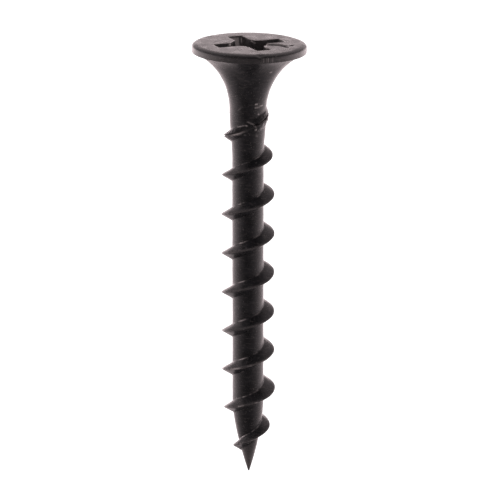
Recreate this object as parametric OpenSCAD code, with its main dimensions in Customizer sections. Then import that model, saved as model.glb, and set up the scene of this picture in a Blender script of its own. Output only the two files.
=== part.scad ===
// Bugle-head wood screw with a cross recess, a single coarse right-hand thread and a sharp
// point. It is one piece of steel, divided here into its five regions: head, shank, core,
// thread and point. The origin is the centre of the flat head face, +Z points out of the
// head along the screw's axis, and the tip is at the bottom.

/* [Size] */
// Length from the flat head face to the tip
screw_l = 31; // [24:0.5:45]
// Diameter of the core between the threads
core_d = 2.15; // [2:0.05:2.3]
// Diameter of the plain shank under the head
shank_d = 2.48; // [2.35:0.02:2.6]
// Length of the plain shank, which narrows to the core
shank_l = 3.3; // [2.5:0.1:4]
// Length of the tapered point
point_l = 5.3; // [4.5:0.1:6.5]

/* [Head] */
// Diameter of the head
head_d = 7.88; // [7.6:0.02:8.4]
// Height of the head, rim and bugle together
head_h = 4.7; // [4.4:0.1:5.2]
// Height of the straight rim
rim_h = 0.58; // [0.4:0.02:0.8]
// Radius of the rounded upper edge of the rim
rim_round = 0.25; // [0.1:0.05:0.3]

/* [Cross recess] */
// Distance across opposite wings at the head face
recess_m = 5; // [4.8:0.05:5.2]
// Distance across the wings at the recess floor
recess_g = 2.29; // [2.2:0.01:2.35]
// Width of a wing at the head face
wing_w = 1.05; // [0.9:0.05:1.15]
// Distance between opposite ridges at the head face
ridge_d = 2.05; // [1.9:0.05:2.2]
// Angle of the wings about the screw's axis, in degrees
recess_turn = 24.5; // [0:0.5:89.5]

/* [Thread] */
// Diameter over the thread crests
thread_d = 3.66; // [3.4:0.02:3.9]
// Advance in one turn
pitch = 2.82; // [2.5:0.02:3]
// Width of the thread where it meets the core
thread_root_w = 0.94; // [0.8:0.02:1.1]
// Width of the flat on the crest
crest_w = 0.04; // [0.02:0.01:0.1]
// Plain length between the bugle and the start of the thread
thread_gap = 0; // [0:0.1:1]
// Length over which the thread rises to its full height
rise_l = 6.2; // [4:0.2:8]
// Length left without thread at the tip
bare_tip_l = 1.1; // [0.8:0.05:1.5]
// Direction of a crest 0.85 pitches below the head face, in degrees
thread_turn = 180; // [0:5:355]

/* [Hidden] */
$fn = 96;
eps = 0.01;
core_r = core_d / 2;
shank_r = shank_d / 2;
head_r = head_d / 2;
core_top = head_h + shank_l;
point_top = screw_l - point_l;
tip_r = 0.05;
point_power = 1.6;
point_bands = 16;
rim_bands = 6;

// The bugle is an arc tangent to the shank that ends at the rim's lower edge
bugle_out = head_r - shank_r;
bugle_up = head_h - rim_h;
bugle_r = (bugle_out * bugle_out + bugle_up * bugle_up) / (2 * bugle_out);

wing_tip_slope = tan(26.5);
wing_draft = tan(5.75);
ridge_draft = tan(7);
floor_slope = 1 / tan(28);
facet_turn = 25;
recess_h = (recess_m - recess_g) / 2 / wing_tip_slope;
recess_lip = 0.5;
facet_d = ridge_d * cos(45 - facet_turn);
floor_r = facet_d / 2 - ridge_draft * recess_h - 3 * eps;
floor_h = floor_r / floor_slope;

steps_per_turn = 36;
thread_h = (thread_d - core_d) / 2;
thread_top = head_h + thread_gap;
thread_bottom = screw_l - bare_tip_l;
thread_steps = ceil((thread_bottom - thread_top) / pitch * steps_per_turn);
first_crest = 0.3 * pitch;
start_h = 0.03;
rise_power = 0.55;
fade_power = 0.3;
seat_ratio = 1 / cos(180 / steps_per_turn);

// Radius of the point at a share s of its length, 0 at the top and 1 at the tip
function point_r(s) = tip_r + (core_r - tip_r) * (1 - pow(s, point_power));

// Radius of the body under the thread, at a depth below the head face
function body_r(depth) =
    depth < core_top
        ? core_r + (shank_r - core_r) * min(1, (core_top - depth) / shank_l)
    : depth < point_top
        ? core_r
    : point_r(min(1, (depth - point_top) / point_l));

// Height of the crest over the body: it rises below the shank and dies away on the point
function rise(depth) = pow(sin(90 * min(1, (depth - thread_top) / rise_l)), rise_power);
function fade(depth) =
    pow(1 - max(0, depth - point_top) / (thread_bottom + eps - point_top), fade_power);
function crest_h(depth) = start_h + (thread_h - start_h) * rise(depth) * fade(depth);

// One corner of the thread's section: a depth, an offset along the axis and a height
function thread_corner(depth, offset, h) =
    let (turn = thread_turn - 360 * (depth - first_crest) / pitch)
    let (r = body_r(depth + offset) * seat_ratio + h)
    [r * cos(turn), r * sin(turn), -depth - offset];

// The four corners of the section, which narrows in step with its height
function thread_section(depth) =
    let (h = crest_h(depth))
    let (root = crest_w / 2 + (thread_root_w - crest_w) / 2 * h / thread_h)
    [
        thread_corner(depth, root, 0),
        thread_corner(depth, crest_w / 2, h),
        thread_corner(depth, -crest_w / 2, h),
        thread_corner(depth, -root, 0)
    ];

// Quarter of the rim's upper edge, from the face to the side
function rim_arc(n) = [
    for (i = [0:n])
        let (a = 90 - 90 * i / n)
        [head_r - rim_round * (1 - cos(a)), -rim_round * (1 - sin(a))]
];

module steel() {
    color([0.16, 0.15, 0.15]) children();
}

// Long bar with sides that draw in with depth, from its width at the head face
module drafted_bar(top_w, draft) {
    top = top_w / 2 + draft * recess_lip;
    bottom = top_w / 2 - draft * recess_h;
    rotate([90, 0, 0])
        linear_extrude(height = head_d, center = true)
            polygon([
                [-top, recess_lip],
                [-bottom, -recess_h],
                [bottom, -recess_h],
                [top, recess_lip]
            ]);
}

// Cone that the four wing tips follow
module wing_tip_cone() {
    translate([0, 0, -recess_h])
        cylinder(
            h = recess_h + recess_lip,
            r1 = recess_g / 2,
            r2 = recess_m / 2 + wing_tip_slope * recess_lip
        );
}

// Middle of the recess, with a blunt ridge between each pair of wings
module recess_middle() {
    intersection_for (a = [facet_turn, 90 - facet_turn, 90 + facet_turn, -facet_turn])
        rotate(a)
            drafted_bar(facet_d, ridge_draft);
}

// Cross recess, cut by a number 2 driver
module recess() {
    rotate(recess_turn) {
        intersection() {
            union() {
                drafted_bar(wing_w, wing_draft);
                rotate(90)
                    drafted_bar(wing_w, wing_draft);
                recess_middle();
            }
            wing_tip_cone();
        }
    }
    translate([0, 0, -recess_h - floor_h])
        cylinder(h = floor_h + eps, r1 = 0, r2 = floor_r);
}

module head() {
    steel()
        difference() {
            rotate_extrude()
                difference() {
                    polygon(concat(
                        [[0, 0]],
                        rim_arc(rim_bands),
                        [[head_r, -head_h], [0, -head_h]]
                    ));
                    translate([shank_r + bugle_r, -head_h])
                        circle(r = bugle_r);
                }
            recess();
        }
}

module shank() {
    steel()
        translate([0, 0, -core_top])
            cylinder(h = shank_l, r1 = core_r, r2 = shank_r);
}

module core() {
    steel()
        translate([0, 0, -point_top])
            cylinder(h = point_top - core_top, r = core_r);
}

module thread() {
    n = thread_steps;
    depths = [for (i = [0:n]) thread_top + (thread_bottom - thread_top) * i / n];
    sections = [for (d = depths) each thread_section(d)];
    sides = [
        for (i = [0:n - 1], k = [0:3])
            let (a = 4 * i + k, b = 4 * i + (k + 1) % 4)
            each [[a, a + 4, b + 4], [a, b + 4, b]]
    ];
    ends = [[0, 1, 2, 3], [4 * n + 3, 4 * n + 2, 4 * n + 1, 4 * n]];
    steel()
        polyhedron(points = sections, faces = concat(sides, ends), convexity = 10);
}

module point() {
    steel()
        rotate_extrude()
            polygon(concat(
                [[0, -point_top]],
                [
                    for (i = [0:point_bands])
                        let (s = i / point_bands)
                        [point_r(s), -point_top - point_l * s]
                ],
                [[0, -screw_l]]
            ));
}

head();
shank();
core();
thread();
point();
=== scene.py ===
"""Looks for a black phosphate-coated bugle-head wood screw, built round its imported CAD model.

Lengths are in millimetres, in the CAD model's own frame: the origin is the centre of the flat
head face, +Z points out of the head and the tip is at the bottom. The front is towards -Y.
Meshes are scaled to metres as they are made.
"""

import bpy
import numpy as np
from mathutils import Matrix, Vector


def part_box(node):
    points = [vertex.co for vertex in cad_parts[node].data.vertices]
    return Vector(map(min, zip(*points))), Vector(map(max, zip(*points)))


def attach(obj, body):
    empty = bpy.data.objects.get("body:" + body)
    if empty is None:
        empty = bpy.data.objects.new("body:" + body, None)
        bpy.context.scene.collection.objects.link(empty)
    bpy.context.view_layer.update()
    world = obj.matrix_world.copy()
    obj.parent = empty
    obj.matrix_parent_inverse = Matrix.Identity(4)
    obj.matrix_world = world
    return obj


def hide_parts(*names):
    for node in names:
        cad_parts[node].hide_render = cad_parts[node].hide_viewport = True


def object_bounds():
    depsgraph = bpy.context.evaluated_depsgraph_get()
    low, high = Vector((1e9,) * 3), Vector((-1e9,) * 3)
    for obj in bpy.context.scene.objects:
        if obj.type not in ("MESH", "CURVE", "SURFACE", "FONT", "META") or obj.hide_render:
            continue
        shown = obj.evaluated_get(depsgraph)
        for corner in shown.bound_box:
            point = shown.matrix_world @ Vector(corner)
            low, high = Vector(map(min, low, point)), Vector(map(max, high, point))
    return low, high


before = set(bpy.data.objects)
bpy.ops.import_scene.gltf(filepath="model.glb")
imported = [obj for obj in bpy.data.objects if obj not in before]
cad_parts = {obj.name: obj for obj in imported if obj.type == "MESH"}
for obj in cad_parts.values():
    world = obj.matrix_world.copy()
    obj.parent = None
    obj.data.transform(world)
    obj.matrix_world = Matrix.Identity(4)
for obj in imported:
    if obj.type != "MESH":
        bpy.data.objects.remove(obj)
cad_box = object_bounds()

MM = 0.001


def node_box(name):
    """Lowest and highest corner of a CAD node, in millimetres."""
    lo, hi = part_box(name)
    return np.array(lo) / MM, np.array(hi) / MM


# ---------------------------------------------------------------- sizes

HEAD_R = node_box("head")[1][0]
NECK_Z = node_box("head")[0][2]
SHANK_R = node_box("shank")[1][0]
CORE_TOP = node_box("shank")[0][2]
CORE_R = node_box("core")[1][0]
POINT_TOP = node_box("core")[0][2]
TIP_Z = node_box("point")[0][2]

# The head. The rim's upper edge is a quarter of an ellipse that starts at a slight crease
RIM_R = HEAD_R + 0.01
RIM_H = 0.62
RIM_EDGE_OUT = 0.35
RIM_EDGE_DOWN = 0.2
RIM_CREASE = np.radians(10)
RIM_FOOT = 0.04
FACE_R = RIM_R - RIM_EDGE_OUT
FACE_FALL = 0.02
BUGLE_R = 4.62

# A cold-formed head sits a little off the shank's axis and a little askew, and the pinched
# point is a little bent
HEAD_SHIFT = 0.1
HEAD_TILT = np.radians(0.6)
HEAD_LEAN = np.radians(0.5)
ASKEW_FROM = -4.9
ASKEW_TO = -0.4
POINT_SHIFT = 0.05

# The cross recess
RECESS_M = 5.0
RECESS_G = 2.29
WING_W = 1.05
RIDGE_D = 2.05
RECESS_TURN = np.radians(24.5)
WING_TIP_SLOPE = np.tan(np.radians(26.5))
WING_DRAFT = np.tan(np.radians(5.75))
RIDGE_DRAFT = np.tan(np.radians(7))
FACET_TURN = np.radians(25)
# How far a slipping driver has worn back each ridge, starting at the back one
RIDGE_WEAR = (0, 0.18, 0, 0.18)
RECESS_H = (RECESS_M - RECESS_G) / 2 / WING_TIP_SLOPE
FLOOR_DROP = 0.35
LIP_R = 0.045

# The thread. Depths are measured down from the head face
PITCH = 2.82
CREST_R = 1.83
CREST_ROUND = 0.07
THREAD_H = CREST_R - CORE_R
THREAD_HALF_W = 0.45
ROOT_FILLET = 0.04
THREAD_TOP = -NECK_Z
THREAD_END = 30.0
FIRST_CREST = 0.292 * PITCH
RISE_L = 6.2
RISE_POWER = 0.55
FADE_POWER = 0.27
# Where the crest stands up or sags: by how much, at what depth, and over what length
CREST_BUMPS = ((0.05, 6.5, 0.3), (-0.04, 5.1, 0.2), (0.07, 24.9, 0.4), (-0.1, 26.25, 0.35))
# Patches of burr along the ridge's upper root, each with a strength, a direction in degrees and a
# width; they sit where the root catches the light, so their bare-steel colour is partly a painted
# glint. Then the direction and width of the painted highlight on the lip of the first turn's fold
BURR_GLINT_PATCHES = ((1, -112, 13), (0.4, -53, 15))
FOLD_LIP_HIGHLIGHT_TURN = -121
FOLD_LIP_HIGHLIGHT_W = 15
# Where the first turn was smeared flat as it was rolled, over what length and by how much
SMEAR_DEPTH = 5.78
SMEAR_L = 0.22
SMEAR = 0.7

# The body under the thread, made a little thicker by its coat
NECK_R = SHANK_R + 0.04
COATED_CORE_R = CORE_R + 0.025
TIP_R = 0.05
POINT_POWER = 1.6
BURR_H = 0.02


# ---------------------------------------------------------------- curves and relief


def smoothstep(a, b, x):
    """0 at a, 1 at b, and a smooth curve between."""
    t = np.clip((x - a) / (b - a), 0, 1)
    return t * t * (3 - 2 * t)


def bell(x, width):
    """1 at 0, falling smoothly to nothing a few widths away."""
    return np.exp(-((x / width) ** 2))


def around_from(angle, middle):
    """Degrees from one direction to another, the short way round."""
    return np.mod(angle - middle + 180, 360) - 180


def ripple(points, wavelength, seed):
    """Smooth random relief between about -1 and 1, from six sine waves in random directions."""
    rng = np.random.default_rng(seed)
    total = np.zeros(points.shape[:-1])
    for _ in range(6):
        direction = rng.normal(size=3)
        direction /= np.linalg.norm(direction)
        length = wavelength * rng.uniform(0.6, 1.6)
        total += np.sin(points @ direction * 2 * np.pi / length + rng.uniform(0, 2 * np.pi))
    return total / 3.5


def unevenness(points):
    """Relief of the steel under its coat, the same on every piece so that their borders meet."""
    return 0.004 * ripple(points, 2.2, 11) + 0.0025 * ripple(points, 0.7, 12)


def stroke(flat, path, width):
    """A mark along a path of flat points: 1 on the path, falling off to its sides."""
    nearest = np.full(flat.shape[:-1], np.inf)
    for start, end in zip(path[:-1], path[1:]):
        start = np.array(start, float)
        along = np.array(end) - start
        t = np.clip((flat - start) @ along / (along @ along), 0, 1)
        gap = flat - (start + t[..., None] * along)
        nearest = np.minimum(nearest, np.hypot(gap[..., 0], gap[..., 1]))
    return bell(nearest, width)


# Scratches and burrs round the neck, left when the start of the thread was rolled. Each has a
# brightness and a path of places, given by their direction in degrees and their height.
NECK_BURRS = (
    (0.9, ((-68, -4.03), (-62, -4.05))),
    (0.6, ((-68, -4.28), (-54, -4.25), (-42, -4.18))),
    (0.7, ((-57, -4.76), (-55, -4.78))),
    (0.2, ((-120, -4.45), (-112, -4.3))),
    (0.6, ((-123, -5.66), (-113, -5.6), (-103, -5.52))),
    (0.9, ((-97, -5.51), (-93, -5.53))),
    (0.5, ((-91, -5.26), (-75, -5.41), (-68, -5.62))),
    (1.0, ((-67, -5.75), (-67, -5.87))),
    (0.3, ((-57, -5.36), (-40, -5.26))),
    (0.5, ((-50, -5.78), (-45, -5.8))),
    (0.3, ((-101, -6.19), (-98, -6.22))),
    (0.3, ((-62, -6.3), (-57, -6.33))),
    (0.9, ((-54, -1.58), (-53, -1.6))),
)
BURR_W = 0.038


def neck_burrs(rings):
    """How much of a burr there is at each point round the neck."""
    x, y, z = np.moveaxis(rings, -1, 0)
    flat = np.stack([np.arctan2(y, x) * SHANK_R, z], axis=-1)
    total = np.zeros(z.shape)
    for strength, path in NECK_BURRS:
        flat_path = [(np.radians(turn) * SHANK_R, height) for turn, height in path]
        total = np.maximum(total, strength * stroke(flat, flat_path, BURR_W))
    return total


# ---------------------------------------------------------------- mesh building


def polar(radius, turn, z):
    """Points from a radius, a direction in radians and a height."""
    return np.stack(np.broadcast_arrays(radius * np.cos(turn), radius * np.sin(turn), z), axis=-1)


def push_out(rings, amount):
    """Moves points away from the screw's axis."""
    reach = np.hypot(rings[..., 0], rings[..., 1])
    factor = (reach + amount) / np.maximum(reach, 1e-6)
    rings[..., 0] *= factor
    rings[..., 1] *= factor
    return rings


def set_askew(rings):
    """Moves the head and the tip a little to the side, as on a real cold-formed screw."""
    x, y, z = np.moveaxis(rings, -1, 0)
    head = smoothstep(ASKEW_FROM, ASKEW_TO, z)
    x += head * HEAD_SHIFT + smoothstep(POINT_TOP, TIP_Z, z) * POINT_SHIFT
    z += head * (np.tan(HEAD_LEAN) * y - np.tan(HEAD_TILT) * x)
    return rings


def make_piece(name, rings, wear_and_highlight):
    """A closed skin through rings of points, with its wear and painted highlights stored at each
    point.

    rings has shape (rings, points round, 3) in millimetres. The first and last ring are closed
    with a fan round their middle.
    """
    rings = set_askew(rings)
    count, around = rings.shape[:2]
    points = rings.reshape(-1, 3)
    i, j = np.meshgrid(np.arange(count - 1), np.arange(around), indexing="ij")
    a = i * around + j
    b = i * around + (j + 1) % around
    quads = np.stack([a, b, b + around, a + around], axis=-1).reshape(-1, 4)
    first, last = len(points), len(points) + 1
    points = np.vstack([points, rings[0].mean(axis=0), rings[-1].mean(axis=0)])
    top = (count - 1) * around
    faces = quads.tolist()
    for k in range(around):
        after = (k + 1) % around
        faces.append([first, after, k])
        faces.append([last, top + k, top + after])

    # Faces look outwards when the volume that they enclose is positive
    corners = points[quads]
    halves = np.cross(corners[:, 1], corners[:, 2]) + np.cross(corners[:, 2], corners[:, 3])
    if np.einsum("ij,ij->", corners[:, 0], halves) < 0:
        faces = [face[::-1] for face in faces]

    mesh = bpy.data.meshes.new(name)
    mesh.from_pydata((points * MM).tolist(), [], faces)
    mesh.validate()
    wear_and_highlight = np.concatenate([wear_and_highlight.ravel(), [wear_and_highlight[0].mean(), wear_and_highlight[-1].mean()]])
    layer = mesh.attributes.new("wear_and_highlight", "FLOAT", "POINT")
    layer.data.foreach_set("value", np.clip(wear_and_highlight, 0, 1).astype(np.float32))
    mesh.shade_smooth()
    mesh.set_sharp_from_angle(angle=np.radians(50))
    piece = bpy.data.objects.new(name, mesh)
    bpy.context.scene.collection.objects.link(piece)
    return piece


# ---------------------------------------------------------------- the body under the thread


def body_r(z):
    """Radius of the shank, core and point at a height, without the thread."""
    t = np.clip((z - CORE_TOP + 0.2) / (NECK_Z - CORE_TOP + 0.2), 0, 1)
    shank = COATED_CORE_R + (NECK_R - COATED_CORE_R) * (1 - np.cos(np.pi * t)) / 2
    s = np.clip((POINT_TOP - z) / (POINT_TOP - TIP_Z), 0, 1)
    return shank - (COATED_CORE_R - TIP_R) * s**POINT_POWER


def body_piece(name, top, bottom, step):
    """A stretch of the body between two heights, with a tip rubbed pale, which is partly a
    painted highlight.
    """
    z = np.linspace(top, bottom, int(round((top - bottom) / step)) + 1)[:, None]
    rings = polar(body_r(z), np.linspace(0, 2 * np.pi, 240, endpoint=False), z)
    burrs = neck_burrs(rings)
    rings = push_out(rings, unevenness(rings) + BURR_H * burrs)
    # Paler towards the tip: partly rubbed steel, partly a painted highlight
    tip = 0.2 * smoothstep(TIP_Z + 3.5, TIP_Z + 0.5, rings[..., 2])
    return make_piece(name, rings, np.maximum(burrs, tip))


def make_shank():
    return body_piece("plain_shank", NECK_Z, CORE_TOP, 0.03)


def make_core():
    return body_piece("threaded_core", CORE_TOP, POINT_TOP, 0.12)


def make_point():
    return body_piece("tapered_point", POINT_TOP, TIP_Z, 0.05)


# ---------------------------------------------------------------- the thread


def thread_height(depth):
    """Height of the crest over the body: it rises below the shank and dies away on the point."""
    rise = np.sin(np.pi / 2 * np.clip((depth - THREAD_TOP) / RISE_L, 0, 1)) ** RISE_POWER
    along = np.clip((depth + POINT_TOP) / (THREAD_END + POINT_TOP), 0, 1)
    height = THREAD_H * rise * (1 - along) ** FADE_POWER
    for amount, place, length in CREST_BUMPS:
        height += amount * bell(depth - place, length)
    return height * (1 - SMEAR * np.exp(-(((depth - SMEAR_DEPTH) / SMEAR_L) ** 4)))


def unclosed(depth):
    """1 over the first turn, where the rolled metal hasn't closed up into a sharp ridge."""
    return 1 - smoothstep(THREAD_TOP + 1.5, THREAD_TOP + 2.6, depth)


def fold_place(depth):
    """Where the fold in the unclosed ridge lies, above the ridge's middle."""
    return 0.2 * smoothstep(6.0, 5.2, depth)


def ridge_section(depth):
    """The ridge's section at each depth: places across it, its half width, and its heights.

    It has a rounded crest and filleted roots. Over the first turn it is blunt, with a fold along
    its upper flank.
    """
    height = thread_height(depth)
    share = np.clip(height / THREAD_H, 0, 1)
    blunt = unclosed(depth)
    flank = (0.03 + (THREAD_HALF_W - CREST_ROUND) * share) * (1 - blunt)
    flank += (0.46 - 0.1 * smoothstep(5.3, 6.1, depth)) * blunt
    crest_round = CREST_ROUND + 0.08 * smoothstep(6.2, 5.4, depth)
    half_w = np.sqrt(flank**2 + 2 * flank * crest_round)

    # From below the ridge to above it, closer together at the crest
    across = np.linspace(-1, 1, 61)
    v = np.sign(across) * np.abs(across) ** 1.2 * (flank + 0.2)
    slope = height * (1 - (np.sqrt(v**2 + crest_round**2) - crest_round) / flank)
    fillet = ROOT_FILLET * np.sqrt(share)
    lift = (slope + np.sqrt(slope**2 + fillet**2)) / 2
    fold = blunt * smoothstep(0.08, 0.16, height) * bell(v - fold_place(depth), 0.04)
    return v, half_w, lift - fold * np.minimum(0.16, 0.6 * height)


def root_burr_and_glint(depth, angle, v, half_w, spot):
    """A raised burr along the upper root, in patches where the root catches the light: its
    bare-steel colour there is partly a painted glint.
    """
    patches = sum(s * bell(around_from(angle, turn), width) for s, turn, width in BURR_GLINT_PATCHES)
    patches = patches * smoothstep(-0.8, 0.2, ripple(spot, 0.8, 35))
    return bell(v - half_w, 0.033) * np.clip(1.2 * patches, 0, 1) * (1 - unclosed(depth))


def ridge_wear_and_highlights(depth, angle, v, half_w, spot, on_ridge, burr_and_glint):
    """Bare metal and painted highlights: the crest, rubbed and partly painted as a highlight,
    flecks near the point, the burr, partly a painted glint, the fold's lip with a painted
    highlight to one side, and a painted glint.
    """
    dotted = smoothstep(18, 27, depth) * smoothstep(0.2, 1.0, ripple(spot, 0.55, 34))
    # The crest's paler band is partly rubbing and partly a painted highlight along the crest's
    # edge
    crest = 0.12 * bell(v, 0.07) * on_ridge + 0.6 * bell(v, 0.05) * dotted
    root = 0.8 * burr_and_glint + 0.35 * dotted * bell(np.abs(v) - half_w, 0.03)
    # The fold's lip is pale all round and much brighter towards one direction: a painted
    # highlight
    lip = unclosed(depth) * bell(v - fold_place(depth) + 0.1, 0.08)
    lip = lip * np.maximum(bell(around_from(angle, FOLD_LIP_HIGHLIGHT_TURN), FOLD_LIP_HIGHLIGHT_W), 0.04)
    # A painted glint on one turn's crest, where a lamp's reflection would fall
    glint = bell(depth - 22.9, 0.1) * bell(v + 0.03, 0.07)
    return np.maximum.reduce([crest, root, lip, glint])


def make_thread():
    """The helical ridge, as a band whose inner edges lie inside the body."""
    steps_per_turn = 120
    count = int((THREAD_END - THREAD_TOP) / PITCH * steps_per_turn)
    depth = np.linspace(THREAD_TOP, THREAD_END, count)[:, None]
    turn = np.pi - 2 * np.pi * (depth - FIRST_CREST) / PITCH
    angle = np.degrees(turn)
    v, half_w, lift = ridge_section(depth)

    # The rolled ridge wanders a little from a perfect helix at its start and its end
    z = -depth + v + 0.01 * np.cos(turn) - 0.04 * bell(depth - 6.4, 0.5)
    z -= 0.08 * smoothstep(27.8, 28.8, depth)

    spot = polar(CREST_R, turn, z)
    on_ridge = smoothstep(0.05, 0.5, lift / THREAD_H)
    lift += on_ridge * (0.012 * ripple(spot, 1.3, 31) + 0.005 * ripple(spot, 0.35, 32))
    lift += unclosed(depth) * smoothstep(0.02, 0.1, lift) * 0.02 * ripple(spot, 0.3, 33)
    burr_and_glint = root_burr_and_glint(depth, angle, v, half_w, spot)
    lift += 0.03 * burr_and_glint
    lift[:, [0, -1]] = 0.001

    outer = polar(body_r(z) + lift, turn, z)
    scratches = neck_burrs(outer)
    outer = push_out(outer, unevenness(outer) + BURR_H * scratches)
    inner_z = z[:, [-1, 0]]
    inner = polar(body_r(inner_z) - 0.06, turn, inner_z)
    wear_and_highlight = np.maximum(ridge_wear_and_highlights(depth, angle, v, half_w, spot, on_ridge, burr_and_glint), scratches)
    rings = np.concatenate([outer, inner], axis=1)
    return make_piece("thread_ridge", rings, np.pad(wear_and_highlight, ((0, 0), (0, 2))))


# ---------------------------------------------------------------- the head


def soften_loop(points, sigma):
    """Rounds the corners of a closed loop of points."""
    reach = int(3 * sigma) + 1
    shifts = np.arange(-reach, reach + 1)
    weights = bell(shifts, sigma * np.sqrt(2))
    weights /= weights.sum()
    return sum(w * np.roll(points, k, axis=0) for k, w in zip(shifts, weights))


def stretch(a, b, count):
    """Points from a to b, without b."""
    t = np.linspace(0, 1, count, endpoint=False)[:, None]
    return np.array(a) * (1 - t) + np.array(b) * t


def recess_outline(z):
    """Outline of the cross recess at a height: four wings, and a blunt ridge between each two."""
    half = WING_W / 2 + WING_DRAFT * z
    tip_r = RECESS_G / 2 + WING_TIP_SLOPE * (z + RECESS_H)
    facet = RIDGE_D / 2 * np.cos(np.pi / 4 - FACET_TURN) + RIDGE_DRAFT * z
    apex = facet / np.cos(np.pi / 4 - FACET_TURN) / np.sqrt(2)
    start = apex + (apex - half) / np.tan(FACET_TURN)
    corner = np.arcsin(half / tip_r)
    tip_x = tip_r * np.cos(corner)
    arc = np.linspace(-corner, corner, 26, endpoint=False)
    wing = np.vstack(
        [
            stretch((apex, -apex), (start, -half), 15),
            stretch((start, -half), (tip_x, -half), 26),
            np.stack([tip_r * np.cos(arc), tip_r * np.sin(arc)], axis=1),
            stretch((tip_x, half), (start, half), 26),
            stretch((start, half), (apex, apex), 15),
        ]
    )
    loop = []
    for k in range(4):
        a = RECESS_TURN + k * np.pi / 2
        turn = np.array([[np.cos(a), np.sin(a)], [-np.sin(a), np.cos(a)]])
        loop.append(wing @ turn)
    loop = np.vstack(loop)
    for k, wear_and_highlight_node in enumerate(RIDGE_WEAR):
        a = RECESS_TURN + np.pi / 4 + k * np.pi / 2
        away = np.array([np.cos(a), np.sin(a)])
        gap = np.linalg.norm(loop - apex * np.sqrt(2) * away, axis=1)
        loop += away * (wear_and_highlight_node * bell(gap, 0.35))[:, None]
    return soften_loop(loop, 1.3)


def loop_normals(points):
    """Directions away from a loop's inside, at each of its points."""
    along = np.roll(points, -1, axis=0) - np.roll(points, 1, axis=0)
    along /= np.linalg.norm(along, axis=1, keepdims=True)
    return np.stack([along[:, 1], -along[:, 0]], axis=1)


def with_height(points, z):
    """A flat loop at one height, or at a height for each point."""
    return np.column_stack([points, np.full(len(points), z)])


def bugle_point(share):
    """Radius and height on the underside of the head: share is 0 at the rim and 1 at the neck."""
    angle = np.arcsin((-RIM_H - NECK_Z) / BUGLE_R) * (1 - share)
    return NECK_R + BUGLE_R * (1 - np.cos(angle)), NECK_Z + BUGLE_R * np.sin(angle)


def recess_rings():
    """Rings up the recess and over its lip, each with its wear; the lip's pale rubbing is partly
    a painted highlight.
    """
    wear_and_highlight = 0.08
    floor = recess_outline(-RECESS_H)
    for t in np.linspace(0.08, 1, 8)[:-1]:
        yield with_height(floor * t, -RECESS_H - FLOOR_DROP * (1 - t)), wear_and_highlight
    for t in np.linspace(0, 1, 22)[:-1]:
        z = -LIP_R - (RECESS_H - LIP_R) * (1 - t) ** 1.5
        yield with_height(recess_outline(z), z), wear_and_highlight
    mouth = recess_outline(-LIP_R)
    outward = loop_normals(mouth)
    # The rounded lip is rubbed pale, partly as a painted highlight along it
    for a in np.linspace(0, np.pi / 2, 7):
        ring = mouth + outward * LIP_R * (1 - np.cos(a))
        yield with_height(ring, -LIP_R * (1 - np.sin(a))), 0.45 * np.sin(a)


def face_rings(lip, circle):
    """Rings across the face, which dips at the recess's lip and falls towards the rim."""
    for t in np.linspace(0, 1, 64)[1:]:
        ring = lip * (1 - t) + circle * FACE_R * t
        gap = np.linalg.norm(ring - lip, axis=1)
        reach = np.hypot(ring[:, 0], ring[:, 1])
        fall = 0.008 * (reach / RIM_R) ** 2 + 0.012 * np.clip((reach - 3.2) / 0.5, 0, 1) ** 2
        dip = 0.008 * bell(gap, 0.12)
        # Pale near the lip, partly a painted highlight along the lip
        yield with_height(ring, -fall - dip), 0.1 + 0.4 * bell(gap, 0.08)


def rim_rings(circle):
    """Rings over the rim's rounded edge, down its side and in under it."""
    wear_and_highlight = 0.08
    for a in np.linspace(RIM_CREASE, np.pi / 2, 14)[1:]:
        out = (np.sin(a) - np.sin(RIM_CREASE)) / (1 - np.sin(RIM_CREASE))
        down = 1 - np.cos(a) / np.cos(RIM_CREASE)
        ring = circle * (FACE_R + RIM_EDGE_OUT * out)
        yield with_height(ring, -FACE_FALL - (RIM_EDGE_DOWN - FACE_FALL) * down), 0
    for z in np.linspace(-RIM_EDGE_DOWN, RIM_FOOT - RIM_H, 6)[1:]:
        yield with_height(circle * RIM_R, z), wear_and_highlight
    top_r, top_z = bugle_point(0)
    for a in np.linspace(0, np.pi / 2, 11)[1:]:
        out = RIM_R - (RIM_R - top_r) * (1 - np.cos(a))
        yield with_height(circle * out, top_z + RIM_FOOT * (1 - np.sin(a))), wear_and_highlight * np.cos(a)


def bugle_rings(circle):
    """Rings down the underside of the head, to the neck."""
    for share in np.linspace(0, 1, 61)[1:]:
        r, z = bugle_point(share)
        yield with_height(circle * r, z), 0


def make_head():
    """The head as one skin: up the recess, over its lip, across the face and down the bugle."""
    parts = list(recess_rings())
    lip = parts[-1][0][:, :2]
    direction = np.arctan2(lip[:, 1], lip[:, 0])
    circle = np.stack([np.cos(direction), np.sin(direction)], axis=1)
    parts += [*face_rings(lip, circle), *rim_rings(circle), *bugle_rings(circle)]
    rings = np.array([ring for ring, _ in parts])
    wear_and_highlight = np.array([np.full(len(circle), amount, dtype=float) for _, amount in parts])

    burrs = neck_burrs(rings) * (rings[..., 2] < -1)
    rings = push_out(rings, unevenness(rings) + BURR_H * burrs)
    rings[..., 2] += 0.006 * ripple(rings, 1.6, 41) * smoothstep(-0.5, -0.1, rings[..., 2])
    wear_and_highlight = np.maximum(wear_and_highlight, burrs)
    for mark in (face_marks, recess_marks, rim_marks):
        rings, wear_and_highlight = mark(rings, wear_and_highlight)
    return make_piece("bugle_head", rings, wear_and_highlight)


# Marks that a slipping driver left on the face, beside one wing of the recess
CREASE = ((1.3, -0.58), (1.6, -0.56), (2.06, -0.69), (2.4, -0.94), (2.58, -1.3))
PIT = ((2.78, -0.76), (2.98, -0.6))
CURL = ((1.3, -0.3), (1.75, -0.22), (2.15, -0.33), (2.5, -0.62))
SLUMP = ((1.12, -1.5), (1.1, -0.8), (1.2, -0.45))


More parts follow.
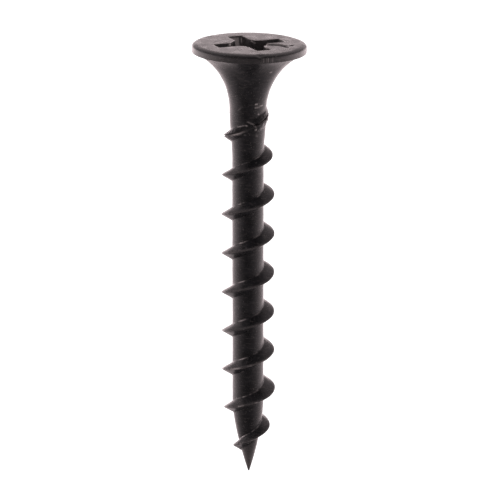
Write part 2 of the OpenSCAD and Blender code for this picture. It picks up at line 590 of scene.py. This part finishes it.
def face_marks(rings, wear_and_highlight):
    """The driver's marks: a crease and pit painted dark as shade, a bright curl of metal and a
    slumped ridge.
    """
    flat, z = rings[..., :2], rings[..., 2]
    on_face = smoothstep(-0.12, -0.04, z)
    crease = stroke(flat, CREASE, 0.065)
    pit = stroke(flat, PIT, 0.07)
    curl = stroke(flat, CURL, 0.13)
    slump = stroke(flat, SLUMP, 0.12)
    rings[..., 2] += on_face * (0.06 * curl - 0.2 * crease - 0.14 * pit - 0.04 * slump)
    wear_and_highlight = np.maximum(wear_and_highlight, on_face * np.maximum(0.45 * curl, 0.5 * slump))
    # The crease and pit lose the face's pale wear, so they are painted dark: painted shade in the
    # groove
    return rings, wear_and_highlight * (1 - on_face * np.maximum(crease, pit))


def recess_marks(rings, wear_and_highlight):
    """Painted light on the back wing's end wall with a painted glint at its corner, a streak
    inside the recess, and a pip of metal on one wall.
    """
    x, y, z = np.moveaxis(rings, -1, 0)
    u = x * np.cos(RECESS_TURN) + y * np.sin(RECESS_TURN)
    v = y * np.cos(RECESS_TURN) - x * np.sin(RECESS_TURN)
    tip_r = RECESS_G / 2 + WING_TIP_SLOPE * (z + RECESS_H)
    side = u - WING_W / 2 - WING_DRAFT * z
    back_end = bell(np.hypot(u, v) - tip_r, 0.05) * (v > 1) * smoothstep(-0.08, -0.16, z)
    wall = smoothstep(-0.19, -0.25, side) * smoothstep(-1.4, -1.0, z)
    glint = bell(side + 0.05, 0.05) * bell(z + 0.3, 0.2)
    streak = stroke(np.stack([x, z], axis=-1), ((0.12, -0.1), (0.4, -0.19)), 0.035)
    streak = streak * (y > 0.5) * (y < 1.2)
    pip = bell(u + 1.28, 0.1) * bell(z + 0.17, 0.13) * smoothstep(0.1, 0.3, v) * (v < 1)
    # The end wall's pale patch is painted light and the corner's bright stripe is a painted glint
    marks = [back_end * np.maximum(0.75 * wall, glint), streak, pip]
    rings[..., 0] += 0.12 * pip * np.sin(RECESS_TURN)
    rings[..., 1] -= 0.12 * pip * np.cos(RECESS_TURN)
    return rings, np.maximum.reduce([wear_and_highlight, *marks])


NICK_TURN = -78.5


def rim_marks(rings, wear_and_highlight):
    """A nick in the front of the rim's upper edge, and short scratches beside it."""
    x, y, z = np.moveaxis(rings, -1, 0)
    reach = np.hypot(x, y)
    turn = np.degrees(np.arctan2(y, x))
    along = np.radians(turn - NICK_TURN) * RIM_R
    nick = bell(along, 0.24) * smoothstep(RIM_R - 0.45, RIM_R - 0.15, reach)
    z -= 0.1 * nick * smoothstep(-0.35, -0.2, z)
    side = smoothstep(RIM_R - 0.06, RIM_R - 0.02, reach) * smoothstep(-0.6, -0.5, z)
    beside = smoothstep(-79, -76, turn) * smoothstep(-60, -68, turn) * smoothstep(-0.18, -0.26, z)
    lines = np.clip(np.sin(along * 2 * np.pi / 0.16), 0, 1) ** 2
    return rings, np.maximum(wear_and_highlight, 0.5 * side * beside * lines)


# ---------------------------------------------------------------- shader nodes


def arithmetic(tree, kind, a, b, clamp=False):
    """One arithmetic step on two values, each a socket or a number."""
    step = tree.nodes.new("ShaderNodeMath")
    step.operation = kind
    step.use_clamp = clamp
    for socket, value in zip(step.inputs, (a, b)):
        if isinstance(value, (int, float)):
            socket.default_value = value
        else:
            tree.links.new(value, socket)
    return step.outputs["Value"]


def map_range(tree, value, span, result=(0, 1), kind="LINEAR"):
    """Maps the span of a value onto a result, and holds it there beyond the span's ends."""
    node = tree.nodes.new("ShaderNodeMapRange")
    node.interpolation_type = kind
    for name, number in zip(("From Min", "From Max", "To Min", "To Max"), (*span, *result)):
        node.inputs[name].default_value = number
    tree.links.new(value, node.inputs["Value"])
    return node.outputs["Result"]


def noise(tree, place, per_mm, detail, span):
    """Noise with so many features to a millimetre, with a span of it stretched to 0 to 1."""
    texture = tree.nodes.new("ShaderNodeTexNoise")
    texture.inputs["Scale"].default_value = per_mm / MM
    texture.inputs["Detail"].default_value = detail
    tree.links.new(place, texture.inputs["Vector"])
    return map_range(tree, texture.outputs["Fac"], span)


def weigh(tree, value, by):
    """A value multiplied by another, kept between 0 and 1."""
    return arithmetic(tree, "MULTIPLY", value, by, clamp=True)


def blend(tree, amount, low, high):
    """Colour between two, each a socket or a tuple, by an amount."""
    mix = tree.nodes.new("ShaderNodeMix")
    mix.data_type = "RGBA"
    tree.links.new(amount, mix.inputs["Factor"])
    for socket, value in ((mix.inputs["A"], low), (mix.inputs["B"], high)):
        if isinstance(value, tuple):
            socket.default_value = (*value, 1)
        else:
            tree.links.new(value, socket)
    return mix.outputs["Result"]


# ---------------------------------------------------------------- material

COAT_DARK = (0.018, 0.0195, 0.022)
COAT_PALE = (0.034, 0.0365, 0.041)
SPECK = (0.3, 0.29, 0.28)
ROLLING_MARK = (0.16, 0.152, 0.148)
# Bare steel where the coat is rubbed through, and also the colour of the painted highlights and
# glints
BARE_STEEL_AND_HIGHLIGHT = (0.9, 0.87, 0.85)


def coat_colour(tree, place, mottle, rub_and_highlight):
    """Mottled dark grey with pale specks and rolling marks round the screw, rubbed to steel where
    worn and where highlights are painted.
    """
    colour = blend(tree, mottle, COAT_DARK, COAT_PALE)
    specks = noise(tree, place, 11, 1, (0.67, 0.74))
    colour = blend(tree, weigh(tree, specks, 0.6), colour, SPECK)
    squashed = tree.nodes.new("ShaderNodeMapping")
    squashed.inputs["Scale"].default_value = (1, 1, 6)
    tree.links.new(place, squashed.inputs["Vector"])
    rolled = noise(tree, squashed.outputs["Vector"], 2.2, 3, (0.54, 0.72))
    colour = blend(tree, weigh(tree, rolled, 0.5), colour, ROLLING_MARK)
    return blend(tree, rub_and_highlight, colour, BARE_STEEL_AND_HIGHLIGHT)


def coat_normal(tree, place, mottle):
    """Fine matt grain over the mottle's broader relief."""
    grain = weigh(tree, noise(tree, place, 14, 2, (0.3, 0.7)), 0.5)
    bump = tree.nodes.new("ShaderNodeBump")
    bump.inputs["Strength"].default_value = 0.3
    bump.inputs["Distance"].default_value = 0.01 * MM
    relief = arithmetic(tree, "ADD", grain, weigh(tree, mottle, 0.5), clamp=True)
    tree.links.new(relief, bump.inputs["Height"])
    return bump.outputs["Normal"]


def phosphate(name):
    """Dark grey phosphate coat on steel, with fine matt grain, mottled gloss, rubbed edges and
    painted highlights.
    """
    material = bpy.data.materials.new(name)
    material.use_nodes = True
    tree = material.node_tree
    tree.nodes.clear()
    out = tree.nodes.new("ShaderNodeOutputMaterial")
    shader = tree.nodes.new("ShaderNodeBsdfPrincipled")
    tree.links.new(shader.outputs["BSDF"], out.inputs["Surface"])
    place = tree.nodes.new("ShaderNodeTexCoord").outputs["Object"]
    wear_and_highlight_node = tree.nodes.new("ShaderNodeAttribute")
    wear_and_highlight_node.attribute_name = "wear_and_highlight"

    # The wear attribute also holds painted highlights and glints, which turn bare steel here too
    rub_and_highlight = weigh(tree, wear_and_highlight_node.outputs["Fac"], noise(tree, place, 9, 3, (-0.2, 0.5)))
    mottle = noise(tree, place, 1.6, 4, (0.35, 0.65))
    links = {
        "Base Color": coat_colour(tree, place, mottle, rub_and_highlight),
        "Metallic": weigh(tree, rub_and_highlight, 0.3),
        "Roughness": map_range(tree, mottle, (0, 1), (0.25, 0.36)),
        "Normal": coat_normal(tree, place, mottle),
    }
    for socket, value in links.items():
        tree.links.new(value, shader.inputs[socket])
    return material


# ---------------------------------------------------------------- studio

# The white behind the screw is a little overexposed
BACKDROP_LIGHT = 1.5
TENT_LIGHT = 2.45
FILL_LIGHT = 0.063
TENT_COLOUR = (1.0, 0.86, 0.875, 1)
WHITE = (1, 1, 1, 1)
FLOOR_SIZE = 3.0


def make_floor():
    """Plain white floor at the tip's level. Only the camera sees it, so it throws no light."""
    z = cad_box[0][2]
    sides = ((-1, -1), (1, -1), (1, 1), (-1, 1))
    corners = [(x * FLOOR_SIZE, y * FLOOR_SIZE, z) for x, y in sides]
    mesh = bpy.data.meshes.new("floor")
    mesh.from_pydata(corners, [], [(0, 1, 2, 3)])
    floor = bpy.data.objects.new("floor", mesh)
    bpy.context.scene.collection.objects.link(floor)
    material = bpy.data.materials.new("white_floor")
    material.use_nodes = True
    nodes = material.node_tree.nodes
    nodes.clear()
    out = nodes.new("ShaderNodeOutputMaterial")
    glow = nodes.new("ShaderNodeEmission")
    glow.inputs["Strength"].default_value = BACKDROP_LIGHT
    material.node_tree.links.new(glow.outputs["Emission"], out.inputs["Surface"])
    mesh.materials.append(material)
    floor.visible_diffuse = False
    floor.visible_glossy = False
    floor.visible_shadow = False


def make_world():
    """White surroundings, as in a light tent: brightest at the back along the horizon, and dark
    in front, overhead and underneath."""
    world = bpy.data.worlds.new("tent")
    world.use_nodes = True
    bpy.context.scene.world = world
    tree = world.node_tree
    tree.nodes.clear()
    out = tree.nodes.new("ShaderNodeOutputWorld")
    split = tree.nodes.new("ShaderNodeSeparateXYZ")
    place = tree.nodes.new("ShaderNodeTexCoord").outputs["Generated"]
    tree.links.new(place, split.inputs["Vector"])

    y, z = split.outputs["Y"], split.outputs["Z"]
    back = map_range(tree, y, (-1.1, 0.8), (0, TENT_LIGHT), "SMOOTHSTEP")
    above = map_range(tree, z, (0, 0.35), (1, 0.21), "SMOOTHSTEP")
    below = map_range(tree, z, (-0.95, 0), (0.1, 1), "SMOOTHSTEP")
    strength = arithmetic(tree, "MULTIPLY", back, arithmetic(tree, "MULTIPLY", above, below))
    light = tree.nodes.new("ShaderNodeBackground")
    light.inputs["Color"].default_value = TENT_COLOUR
    tree.links.new(arithmetic(tree, "ADD", strength, FILL_LIGHT), light.inputs["Strength"])
    backdrop = tree.nodes.new("ShaderNodeBackground")
    backdrop.inputs["Color"].default_value = WHITE
    backdrop.inputs["Strength"].default_value = BACKDROP_LIGHT
    mix = tree.nodes.new("ShaderNodeMixShader")
    to_camera = tree.nodes.new("ShaderNodeLightPath").outputs["Is Camera Ray"]
    tree.links.new(to_camera, mix.inputs["Fac"])
    tree.links.new(light.outputs["Background"], mix.inputs[1])
    tree.links.new(backdrop.outputs["Background"], mix.inputs[2])
    tree.links.new(mix.outputs["Shader"], out.inputs["Surface"])


CAMERA_ELEVATION = np.radians(15.574)
CAMERA_DISTANCE = 222.0
CAMERA_LENS = 228.6
CAMERA_AIM = (0.143, 0.0, -14.73)


def make_camera():
    """Long lens in front of the screw, a little above it."""
    data = bpy.data.cameras.new("camera")
    data.lens = CAMERA_LENS
    data.clip_start = 0.01
    camera = bpy.data.objects.new("camera", data)
    bpy.context.scene.collection.objects.link(camera)
    place = Vector((0, -np.cos(CAMERA_ELEVATION), np.sin(CAMERA_ELEVATION))) * CAMERA_DISTANCE
    place.z += TIP_Z / 2
    camera.location = place * MM
    camera.rotation_euler = (Vector(CAMERA_AIM) - place).to_track_quat("-Z", "Y").to_euler()
    bpy.context.scene.camera = camera


# ---------------------------------------------------------------- the screw

make_camera()
coat = phosphate("black_phosphate")
for make, node in (
    (make_head, "head"),
    (make_shank, "shank"),
    (make_core, "core"),
    (make_thread, "thread"),
    (make_point, "point"),
):
    piece = make()
    piece.data.materials.append(coat)
    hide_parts(node)
    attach(piece, "root")

make_floor()
make_world()
bpy.context.scene.view_settings.view_transform = "Standard"
